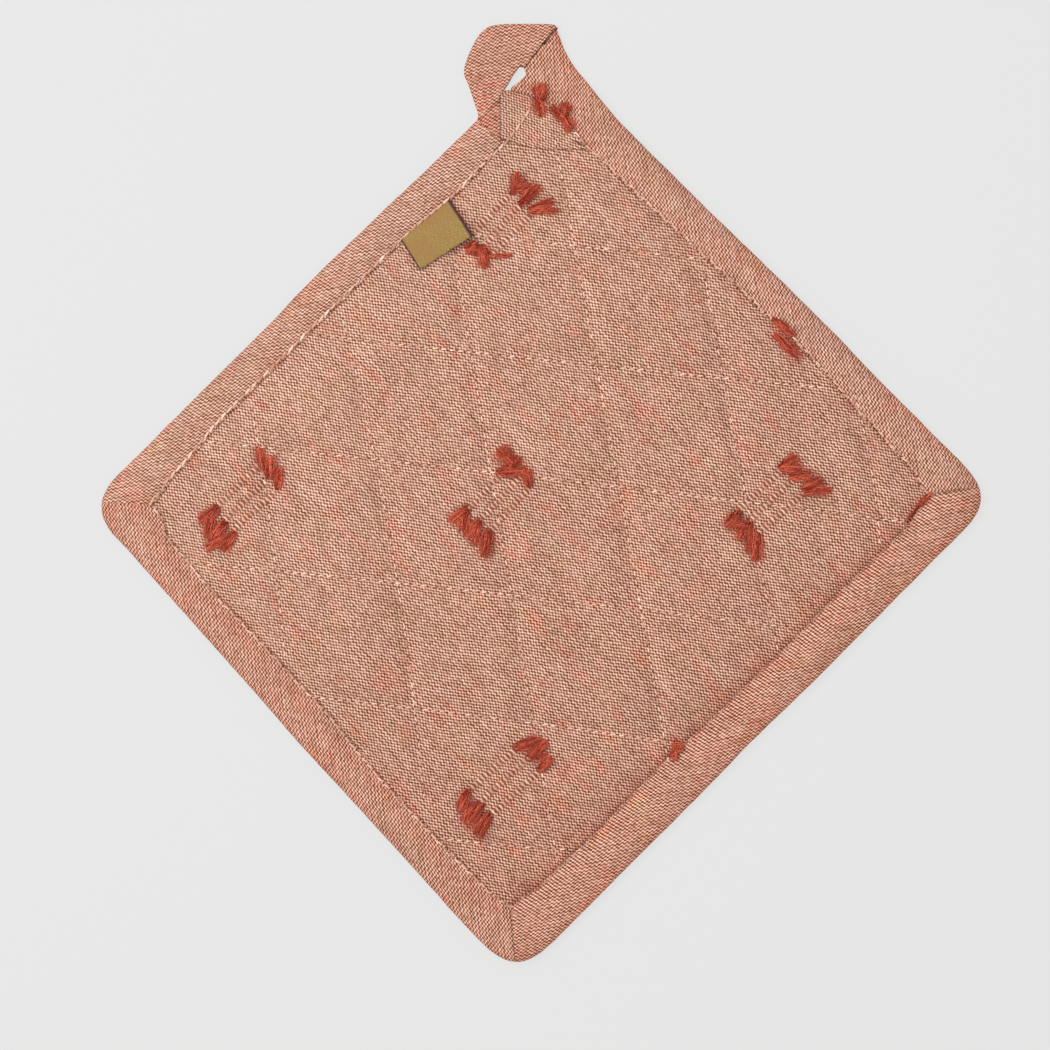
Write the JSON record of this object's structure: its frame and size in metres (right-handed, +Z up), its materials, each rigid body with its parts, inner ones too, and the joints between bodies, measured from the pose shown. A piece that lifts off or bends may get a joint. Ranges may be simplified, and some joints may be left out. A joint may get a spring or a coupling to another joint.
{
  "type": "quilted pot holder",
  "caption": "Square quilted cloth pot holder with a bound edge, a folded hanging loop at one corner, a blank woven label and clipped tufts of yarn.",
  "frame": {"origin": "on the surface that it lies on, below the middle of its whole outline", "axes": "+Z up, out of the quilted face; +Y towards the corner with the hanging loop; +X to the right of the face as it is seen from above"},
  "size_m": [0.2963, 0.3162, 0.0091],
  "materials": {
    "chambray": "matte two-colour plain weave, rust and cream",
    "label_weave": "satin-woven ribbon, olive gold with dark edges",
    "tuft_yarn": "matte loose yarn, brick red"
  },
  "bodies": {
    "root": {"quilted_panel": "chambray", "binding": "chambray", "hanging_loop": "chambray", "corner_fold": "chambray", "label": "label_weave", "tuft_a_upper": "tuft_yarn", "tuft_a_lower": "tuft_yarn", "tuft_b_upper": "tuft_yarn", "tuft_b_lower": "tuft_yarn", "tuft_c_upper": "tuft_yarn", "tuft_c_lower": "tuft_yarn", "tuft_d_upper": "tuft_yarn", "tuft_d_lower": "tuft_yarn", "tuft_e_upper": "tuft_yarn", "tuft_e_lower": "tuft_yarn", "tuft_f_upper": "tuft_yarn", "tuft_f_lower": "tuft_yarn", "tuft_g_edge": "tuft_yarn", "tuft_h_edge": "tuft_yarn", "tuft_k_edge": "tuft_yarn"}
  },
  "joints": []
}
